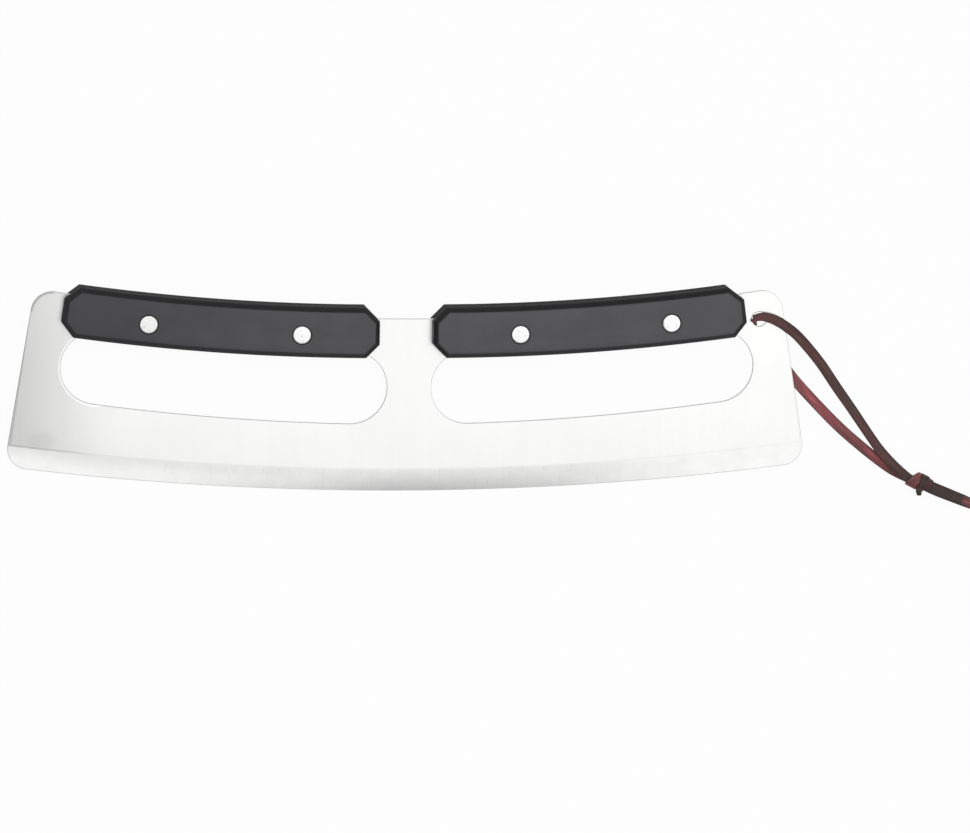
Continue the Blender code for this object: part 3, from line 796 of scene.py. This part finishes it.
def add_strap(shape, rows, look, hole):
    """Sweep the lace's section along rows of place, width direction, two shares and a curl."""
    where = layer(shape.verts.layers.float_vector, "lace")
    red = layer(shape.verts.layers.float, "red")
    section = lace_section()
    places = [Vector(row[:3]) for row in rows]
    first_red, last_red, along = look
    rings = []
    for i, row in enumerate(rows):
        forward = (places[min(i + 1, len(rows) - 1)] - places[max(i - 1, 0)]).normalized()
        across = Vector(row[3:6])
        side = (across - forward * across.dot(forward)).normalized()
        up = side.cross(forward)
        width, thickness, curl = row[6:]
        if i:
            along += (places[i] - places[i - 1]).length * MILLIMETRE
        ring = []
        for u, v in section:
            over, out = bent(u * width * LACE_WIDTH / 2, v * thickness * LACE_THICKNESS / 2, curl)
            vertex = shape.verts.new(hole + (places[i] + side * over + up * out) * MILLIMETRE)
            vertex[where] = (u * LACE_WIDTH / 2 * MILLIMETRE, along, v)
            vertex[red] = first_red + (last_red - first_red) * i / (len(rows) - 1)
            ring.append(vertex)
        rings.append(ring)
    close_strap(shape, rings)


def close_strap(shape, rings):
    """Faces along a strap's rings, and one at each end."""
    for first, second in zip(rings, rings[1:]):
        for k in range(len(first)):
            j = (k + 1) % len(first)
            shape.faces.new((first[k], first[j], second[j], second[k]))
    shape.faces.new(rings[0])
    shape.faces.new(list(reversed(rings[-1])))


def add_strands(name, straps, node, leather, hole):
    """A piece made of straps, each its rows and its look."""
    shape = bmesh.new()
    for rows, look in straps:
        add_strap(shape, rows, look, hole)
    bmesh.ops.recalc_face_normals(shape, faces=shape.faces)
    mesh = bpy.data.meshes.new(name)
    shape.to_mesh(mesh)
    shape.free()
    mesh.shade_smooth()
    mesh.set_sharp_from_angle(angle=LACE_CREASE)
    mesh.materials.append(leather)
    return add_piece(name, mesh, "lanyard", "lanyard_leather", node)


def lying(route, sign):
    """Rows of a strap that lies on its broad side along a route."""
    rows = []
    for i, (x, y, z, share) in enumerate(route):
        before, after = route[max(i - 1, 0)], route[min(i + 1, len(route) - 1)]
        across = Vector((after[1] - before[1], before[0] - after[0], 0)).normalized() * sign
        rows.append((x, y, z, *across, share, 1, 0))
    return rows


def knot_row(u, v, z, share):
    """A row of a strap round the knot, by its place along and across the knot's axis."""
    axis = Vector((math.cos(KNOT_TURN), math.sin(KNOT_TURN), 0))
    side = Vector((-axis.y, axis.x, 0))
    return [*(Vector(KNOT_PLACE) + axis * u + side * v + Vector((0, 0, z))), *axis, share, 1, 0]


def wrap_rows(wrap, start, end):
    """Part of a turn round the knot's core; angles are in degrees, with 90 in front."""
    top_u, top_v, bottom_u, bottom_v, half_height, top_share, bottom_share, bulge = wrap
    rows = []
    for i in range(WRAP_STEPS + 1):
        angle = math.radians(start + (end - start) * i / WRAP_STEPS)
        top = (1 + math.cos(angle)) / 2
        u = bottom_u + (top_u - bottom_u) * top + bulge * math.sin(angle)
        v = bottom_v + (top_v - bottom_v) * top
        share = bottom_share + (top_share - bottom_share) * top
        rows.append(knot_row(u, v, half_height * math.sin(angle), share))
    return rows


def turned_over(rows):
    """The same strap with its flesh side out."""
    return [[*row[:3], -row[3], -row[4], -row[5], *row[6:]] for row in rows]


def make_knot(hole, leather):
    middle = wrap_rows(MIDDLE_WRAP, *MIDDLE_TURN)
    stub = smooth(middle[-2:] + [knot_row(*point) for point in STUB_POINTS], LACE_STEP / 2)
    straps = [
        (wrap_rows(LEFT_WRAP, *OUTER_TURN), LEFT_WRAP_LOOK),
        (turned_over(middle[:-2] + stub), MIDDLE_WRAP_LOOK),
        (turned_over(wrap_rows(RIGHT_WRAP, *OUTER_TURN)), RIGHT_WRAP_LOOK),
    ]
    return add_strands("lanyard_knot_wraps", straps, "lanyard_knot", leather, hole)


def make_lanyard(hole, leather):
    knot_piece = make_knot(hole, leather)
    front = smooth(lying(FRONT_ROUTE, 1) + list(HOOK_FRONT), LACE_STEP)
    rear = smooth(list(HOOK_REAR) + lying(REAR_ROUTE, -1), LACE_STEP)
    loop = smooth(lying(LOOP_ROUTE, 1), LACE_STEP)
    piece = add_strands("lanyard_front_strand", [(front, FRONT_LOOK)], "lanyard_lace", leather, hole)
    piece = add_strands("lanyard_rear_strand", [(rear, REAR_LOOK)], "lanyard_lace", leather, hole)
    piece = add_strands("lanyard_loop_strand", [(loop, LOOP_LOOK)], "lanyard_loop", leather, hole)


# Materials

def start_material(name):
    material = bpy.data.materials.new(name)
    material.use_nodes = True
    return material, material.node_tree, material.node_tree.nodes["Principled BSDF"]


def add_node(tree, kind, inputs=None, **settings):
    """A node with its settings, and its inputs by name or number as values or as links."""
    node = tree.nodes.new(kind)
    for key, value in settings.items():
        setattr(node, key, value)
    for key, value in (inputs or {}).items():
        if isinstance(value, bpy.types.NodeSocket):
            tree.links.new(value, node.inputs[key])
        else:
            node.inputs[key].default_value = value
    return node


def object_place(tree):
    return add_node(tree, "ShaderNodeTexCoord").outputs["Object"]


def knife_place(tree):
    """The place in the knife's own frame, in which the blade and the handles are measured."""
    inputs = {0: object_place(tree), 1: KNIFE_PLACE}
    away = add_node(tree, "ShaderNodeVectorMath", inputs, operation="SUBTRACT")
    inputs = {"Vector": away.outputs[0], "Angle": -KNIFE_TILT}
    return add_node(tree, "ShaderNodeVectorRotate", inputs, rotation_type="X_AXIS").outputs["Vector"]


def distance(tree, place, middle):
    """How far a place is from a middle, seen along the z axis."""
    flat = add_node(tree, "ShaderNodeVectorMath", {0: place, 1: (1, 1, 0)}, operation="MULTIPLY").outputs[0]
    inputs = {0: flat, 1: (middle[0], middle[1], 0)}
    return add_node(tree, "ShaderNodeVectorMath", inputs, operation="DISTANCE").outputs["Value"]


def band(tree, value, low, high, soft):
    """1 from low to high and 0 outside, with soft borders."""
    rise = remap(tree, value, low - soft, low + soft, 0, 1)
    return maths(tree, "MULTIPLY", rise, remap(tree, value, high - soft, high + soft, 1, 0))


def attribute(tree, name):
    return add_node(tree, "ShaderNodeAttribute", attribute_name=name).outputs


def noise(tree, place, grain):
    """Noise from 0 to 1 with the repeats and the detail of a grain."""
    repeats, detail = grain
    stretched = add_node(tree, "ShaderNodeMapping", {"Vector": place, "Scale": repeats}).outputs["Vector"]
    inputs = {"Vector": stretched, "Scale": 1, "Detail": detail}
    return add_node(tree, "ShaderNodeTexNoise", inputs).outputs["Fac"]


def remap(tree, value, start, end, low, high):
    """Low up to start and high from end on, with a smooth change between them."""
    inputs = {"Value": value, "From Min": start, "From Max": end, "To Min": low, "To Max": high}
    return add_node(tree, "ShaderNodeMapRange", inputs, interpolation_type="SMOOTHSTEP").outputs["Result"]


def spread(tree, grain, low, high):
    """Low in the dark parts of a noise and high in its bright ones."""
    return remap(tree, grain, *NOISE_RANGE, low, high)


def toned(tree, share, tone):
    """A factor of 1 where the share is 0, and of the tone where it is 1."""
    return remap(tree, share, 0, 1, 1, tone)


def maths(tree, operation, first, second):
    return add_node(tree, "ShaderNodeMath", {0: first, 1: second}, operation=operation).outputs[0]


def product(tree, *values):
    result = values[0]
    for value in values[1:]:
        result = maths(tree, "MULTIPLY", result, value)
    return result


def shaded(tree, colour, factor):
    """A colour made lighter or darker by a factor."""
    inputs = {0: colour, "Scale": factor}
    return add_node(tree, "ShaderNodeVectorMath", inputs, operation="SCALE").outputs[0]


def blended(tree, share, first, second):
    """The first colour at share 0 and the second at share 1."""
    node = add_node(tree, "ShaderNodeMix", data_type="RGBA")
    tree.links.new(share, node.inputs["Factor"])
    for socket, value in ((node.inputs[6], first), (node.inputs[7], second)):
        if isinstance(value, bpy.types.NodeSocket):
            tree.links.new(value, socket)
        else:
            socket.default_value = value
    return node.outputs[2]


def spot(tree, place, middle, reach):
    """1 in the middle of a soft oval and 0 outside it."""
    away = add_node(tree, "ShaderNodeVectorMath", {0: place, 1: middle}, operation="SUBTRACT").outputs[0]
    inputs = {0: away, 1: [1 / r for r in reach]}
    scaled = add_node(tree, "ShaderNodeVectorMath", inputs, operation="MULTIPLY").outputs[0]
    length = add_node(tree, "ShaderNodeVectorMath", {0: scaled}, operation="LENGTH").outputs["Value"]
    return remap(tree, length, SPOT_CORE, 1, 1, 0)


def set_bump(tree, shader, height, depth):
    bump = add_node(tree, "ShaderNodeBump", {"Height": height, "Distance": depth, "Strength": 1})
    tree.links.new(bump.outputs["Normal"], shader.inputs["Normal"])


def blade_material():
    """Steel brushed across the blade, with painted shade on its left end, and coarser grinding marks on the
    bevel.
    """
    material, tree, shader = start_material("blade_steel_brushed")
    place = knife_place(tree)
    split = add_node(tree, "ShaderNodeSeparateXYZ", {0: place}).outputs
    x, y = split["X"], split["Y"]
    grind = attribute(tree, "grind")["Fac"]
    on_bevel = remap(tree, grind, *BEVEL_START)
    fine = noise(tree, place, STEEL_FINE)
    marks = noise(tree, place, BEVEL_MARKS)
    tones = brushed_tones(tree, place, fine)
    tones += bevel_tones(tree, x, grind, on_bevel)
    tones += mark_tones(tree, place, x, on_bevel, marks)
    tones += rim_tones(tree, place, x, y)
    tree.links.new(shaded(tree, BLADE_COLOUR, product(tree, *tones)), shader.inputs["Base Color"])
    rough = spread(tree, fine, *STEEL_ROUGHNESS)
    rough = maths(tree, "ADD", rough, remap(tree, on_bevel, 0, 1, 0, BEVEL_ROUGHNESS))
    tree.links.new(rough, shader.inputs["Roughness"])
    shader.inputs["Metallic"].default_value = 1
    set_bump(tree, shader, maths(tree, "ADD", fine, product(tree, marks, on_bevel)), STEEL_BUMP)
    return material


def brushed_tones(tree, place, fine):
    """Tones of the brushed grain, and a painted dark reflection near the left end."""
    broad = noise(tree, place, STEEL_BROAD)
    cloud = noise(tree, place, STEEL_CLOUD)
    tones = [spread(tree, fine, *FINE_TONES), spread(tree, broad, *BROAD_TONES)]
    tones.append(spread(tree, cloud, *CLOUD_TONES))
    # Painted dark reflection near the left end
    tones.append(toned(tree, spot(tree, place, DIM_REFLECTION_PLACE, DIM_REFLECTION_REACH), DIM_REFLECTION_TONE))
    return tones


def bevel_tones(tree, x, grind, on_bevel):
    """Tones that set the bevel off: painted shade on the left end above it, a painted highlight on its
    ends, and painted shade along the grind line.
    """
    least = product(tree, on_bevel, BEVEL_LEAST_TONE)
    # Painted shade on the flat's left end, which the bevel keeps out of
    tones = [maths(tree, "MAXIMUM", remap(tree, x, *LEFT_END_SHADE), least)]
    # Painted highlight on the bevel's ends
    bright = maths(tree, "MAXIMUM", remap(tree, x, *HIGHLIGHT_LEFT), remap(tree, x, *HIGHLIGHT_RIGHT))
    up = remap(tree, grind, *HIGHLIGHT_RISE, remap(tree, x, *HIGHLIGHT_TOP), 1)
    tones.append(toned(tree, product(tree, on_bevel, bright, up), HIGHLIGHT_TONE))
    # Painted shade along the grind line
    line = product(tree, remap(tree, grind, *GRIND_LINE_RISE), remap(tree, grind, *GRIND_LINE_FALL))
    tones.append(toned(tree, product(tree, line, remap(tree, x, *GRIND_LINE_ALONG)), GRIND_LINE_TONE))
    return tones


def mark_tones(tree, place, x, on_bevel, marks):
    """Tones of the grinding marks in the middle of the bevel, and of its blotches."""
    middle = product(tree, remap(tree, x, *MARKS_LEFT), remap(tree, x, *MARKS_RIGHT))
    marked = product(tree, on_bevel, middle, remap(tree, marks, *MARKS_CUT))
    blotches = spread(tree, noise(tree, place, BEVEL_BLOTCHES), 0, 1)
    return [toned(tree, marked, MARKS_TONE), toned(tree, product(tree, on_bevel, blotches), BLOTCHES_TONE)]


def rim_tones(tree, place, x, y):
    """Tones along the rims: painted shade on the upper left corner, a painted highlight round the left
    slot's end, and painted shade on the rounded rims and walls.
    """
    high = upper_corner_centre()
    # Painted shade on the upper left corner's rim
    width, soft = CORNER_BAND
    corner = distance(tree, place, (-high.x, high.y))
    corner = band(tree, corner, UPPER_CORNER_RADIUS - width, UPPER_CORNER_RADIUS, soft)
    corner = product(tree, corner, remap(tree, x, *(along - high.x for along in CORNER_ALONG), 1, 0))
    corner = product(tree, corner, remap(tree, y, *(up + high.y for up in CORNER_UP), 0, 1))
    # Painted highlight round the left slot's end
    width, soft = SLOT_HIGHLIGHT_BAND
    end = distance(tree, place, slot_end_middle())
    pale = band(tree, end, SLOT_WIDTH / 2 + RIM_ROUND, SLOT_WIDTH / 2 + width, soft)
    pale = product(tree, pale, remap(tree, x, *SLOT_HIGHLIGHT_ALONG))
    # Painted shade on the rounded rims and walls
    rim = attribute(tree, "rim")["Fac"]
    dim = product(tree, remap(tree, rim, *RIM_START), remap(tree, x, *RIM_ALONG))
    pairs = ((corner, CORNER_SHADE_TONE), (pale, SLOT_HIGHLIGHT_TONE), (dim, RIM_SHADE_TONE))
    return [toned(tree, share, tone) for share, tone in pairs]


def rivet_material():
    """Bright steel ground flush with the handle, with fine scratches, and painted shade on the left outer
    rivet.
    """
    material, tree, shader = start_material("rivet_steel_ground")
    place = object_place(tree)
    fine = noise(tree, place, RIVET_FINE)
    scuffs = noise(tree, place, RIVET_SCUFFS)
    x = add_node(tree, "ShaderNodeSeparateXYZ", {0: place}).outputs["X"]
    tones = [spread(tree, fine, *RIVET_TONES), remap(tree, scuffs, *SCUFF_TONES)]
    # Painted shade on the left outer rivet
    tones.append(remap(tree, x, *RIVET_SHADE_ALONG))
    tree.links.new(shaded(tree, RIVET_COLOUR, product(tree, *tones)), shader.inputs["Base Color"])
    tree.links.new(remap(tree, scuffs, *SCUFF_ROUGHNESS), shader.inputs["Roughness"])
    shader.inputs["Metallic"].default_value = 1
    set_bump(tree, shader, fine, RIVET_BUMP)
    return material


def plastic_material():
    """Satin black plastic: finely textured, with painted sheen on its flat faces, and matt on its walls."""
    material, tree, shader = start_material("handle_plastic_satin")
    place = knife_place(tree)
    facing = attribute(tree, "facing")["Fac"]
    grain = noise(tree, place, PLASTIC_GRAIN)
    colour = plastic_colour(tree, place, facing)
    tree.links.new(colour, shader.inputs["Base Color"])
    wall = remap(tree, facing, *WALL_ROUGHNESS)
    rough = maths(tree, "ADD", wall, spread(tree, grain, *GRAIN_ROUGHNESS))
    tree.links.new(rough, shader.inputs["Roughness"])
    shader.inputs["Specular IOR Level"].default_value = PLASTIC_SPECULAR
    set_bump(tree, shader, grain, PLASTIC_BUMP)
    return material


def plastic_colour(tree, place, facing):
    """Dark plastic with painted sheen on faces and chamfers, a painted highlight on one end wall and a
    painted shadow round the rivets.
    """
    x = add_node(tree, "ShaderNodeSeparateXYZ", {0: place}).outputs["X"]
    cloud = spread(tree, noise(tree, place, PLASTIC_CLOUD), *SHEEN_CLOUD)
    # Painted sheen on faces and chamfers, weaker towards the left end
    face = product(tree, remap(tree, facing, *FACE_SHEEN), remap(tree, x, *FACE_SHEEN_ALONG), cloud)
    chamfer = product(tree, remap(tree, facing, *CHAMFER_SHEEN), remap(tree, x, *CHAMFER_SHEEN_ALONG))
    colour = blended(tree, maths(tree, "MAXIMUM", face, chamfer), PLASTIC_DARK, PLASTIC_PAINTED_SHEEN)
    # Painted highlight on the right handle's inner end wall
    worn = product(tree, spot(tree, place, END_HIGHLIGHT_PLACE, END_HIGHLIGHT_REACH), remap(tree, facing, *END_HIGHLIGHT_WALL))
    colour = blended(tree, worn, colour, PLASTIC_HIGHLIGHT)
    for rivet in RIVETS.values():
        # Painted shadow round each rivet's seat
        seat_shadow = remap(tree, distance(tree, place, rivet), *SEAT_SHADOW)
        colour = blended(tree, seat_shadow, colour, PLASTIC_DARK)
    return colour


def leather_material():
    """A waxed lace: dark brown on its grain side, redder on its flesh side and along its cut edges."""
    material, tree, shader = start_material("lanyard_leather_waxed")
    place = attribute(tree, "lace")["Vector"]
    across, along, side = add_node(tree, "ShaderNodeSeparateXYZ", {0: place}).outputs
    mottle = noise(tree, place, LEATHER_MOTTLE)
    crease = noise(tree, place, LEATHER_CREASE)
    patch = noise(tree, place, LEATHER_PATCH)
    red = attribute(tree, "red")["Fac"]
    flesh = flesh_colour(tree, across, along, patch, red)
    colour = blended(tree, remap(tree, side, *FLESH_TO_CUT), flesh, LEATHER_CUT)
    grain = grain_colour(tree, across, along, patch, red)
    colour = blended(tree, remap(tree, side, *CUT_TO_GRAIN), colour, grain)
    tones = [spread(tree, mottle, *MOTTLE_TONES)]
    tones += [remap(tree, crease, *LIGHT_STREAKS), remap(tree, crease, *DARK_STREAKS)]
    tones.append(toned(tree, band(tree, along, *PALE_STRETCH), PALE_TONE))
    tree.links.new(shaded(tree, colour, product(tree, *tones)), shader.inputs["Base Color"])
    tree.links.new(spread(tree, mottle, *MOTTLE_ROUGHNESS), shader.inputs["Roughness"])
    shader.inputs["Specular IOR Level"].default_value = LEATHER_SPECULAR
    set_bump(tree, shader, maths(tree, "ADD", mottle, crease), LEATHER_BUMP)
    return material


def grain_colour(tree, across, along, patch, red):
    """Dark wax, worn red in patches and along one stretch of the loop, with painted shade along one edge.
    """
    worn = remap(tree, maths(tree, "ADD", patch, red), *WORN_RANGE)
    worn = maths(tree, "MAXIMUM", worn, band(tree, along, *RED_STRETCH))
    grain = blended(tree, worn, LEATHER_DARK, LEATHER_RED)
    # Painted shade along one edge
    return blended(tree, remap(tree, across, *GRAIN_EDGE_SHADE), grain, LEATHER_EDGE_SHADE)


def flesh_colour(tree, across, along, patch, red):
    """Red flesh, dull in patches, paler towards the hole, with painted shade along both edges."""
    dull = maths(tree, "SUBTRACT", patch, maths(tree, "MULTIPLY", red, DULL_RED_SHARE))
    flesh = blended(tree, remap(tree, dull, *DULL_RANGE), LEATHER_FLESH, LEATHER_FLESH_DULL)
    flesh = shaded(tree, flesh, remap(tree, along, *FLESH_ALONG))
    # Painted shade along both edges
    over = maths(tree, "ABSOLUTE", across, 0)
    return blended(tree, remap(tree, over, *FLESH_EDGE_SHADE), flesh, LEATHER_DARK)


def floor_material():
    """A matt pale floor that shows the lens, gloss and glass a mostly white ground."""
    material, tree, shader = start_material("floor_pale")
    tree.nodes.remove(shader)
    output = tree.nodes["Material Output"]
    rays = add_node(tree, "ShaderNodeLightPath").outputs
    seen = maths(tree, "MAXIMUM", rays["Is Camera Ray"], rays["Is Glossy Ray"])
    seen = maths(tree, "MAXIMUM", seen, rays["Is Transmission Ray"])
    share = maths(tree, "MULTIPLY", seen, FLOOR_GLOW)
    matt = add_node(tree, "ShaderNodeBsdfDiffuse", {"Color": FLOOR_COLOUR}).outputs[0]
    glow = add_node(tree, "ShaderNodeEmission").outputs[0]
    mix = add_node(tree, "ShaderNodeMixShader", {"Fac": share, 1: matt, 2: glow})
    tree.links.new(mix.outputs[0], output.inputs["Surface"])
    return material


# Studio

def add_floor():
    half = FLOOR_SIZE / 2
    mesh = bpy.data.meshes.new("floor")
    signs = ((-1, -1), (1, -1), (1, 1), (-1, 1))
    corners = [(x * half, y * half, -FLOOR_DROP) for x, y in signs]
    mesh.from_pydata(corners, [], [(0, 1, 2, 3)])
    mesh.materials.append(floor_material())
    floor = bpy.data.objects.new("floor", mesh)
    bpy.context.scene.collection.objects.link(floor)


def add_softbox(name, place, size, radiance):
    """A rectangular lamp that hangs level and faces down."""
    data = bpy.data.lights.new(name, "AREA")
    data.shape = "RECTANGLE"
    data.size, data.size_y = size
    data.energy = radiance * math.pi * size[0] * size[1]
    lamp = bpy.data.objects.new(name, data)
    lamp.location = place
    bpy.context.scene.collection.objects.link(lamp)


def add_sky():
    world = bpy.data.worlds.new("studio")
    bpy.context.scene.world = world
    world.use_nodes = True
    background = world.node_tree.nodes["Background"]
    background.inputs["Color"].default_value = SKY_COLOUR
    background.inputs["Strength"].default_value = SKY_STRENGTH


def add_camera():
    data = bpy.data.cameras.new("camera")
    data.lens = CAMERA_LENS
    data.sensor_width = CAMERA_SENSOR
    data.sensor_fit = "HORIZONTAL"
    data.clip_start, data.clip_end = CAMERA_CLIP
    camera = bpy.data.objects.new("camera", data)
    turn = Matrix((CAMERA_RIGHT, CAMERA_UP, CAMERA_BACK)).transposed()
    camera.matrix_world = Matrix.Translation(CAMERA_PLACE) @ turn.to_4x4()
    bpy.context.scene.collection.objects.link(camera)
    bpy.context.scene.camera = camera


def main():
    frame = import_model()
    bpy.context.scene.view_settings.view_transform = "Standard"
    add_camera()
    hole = Vector(frame["joints"][0]["pos_m"])
    make_lanyard(hole, leather_material())
    blade = add_piece("blade_ground", blade_mesh(), "knife", "blade_steel", "blade")
    blade.data.materials.append(blade_material())
    make_scales(frame["nodes"], plastic_material())
    make_rivets(rivet_material())
    add_floor()
    add_sky()
    add_softbox("overhead_softbox", OVERHEAD_PLACE, OVERHEAD_SIZE, OVERHEAD_RADIANCE)
    add_softbox("side_softbox", SIDE_PLACE, SIDE_SIZE, SIDE_RADIANCE)


main()
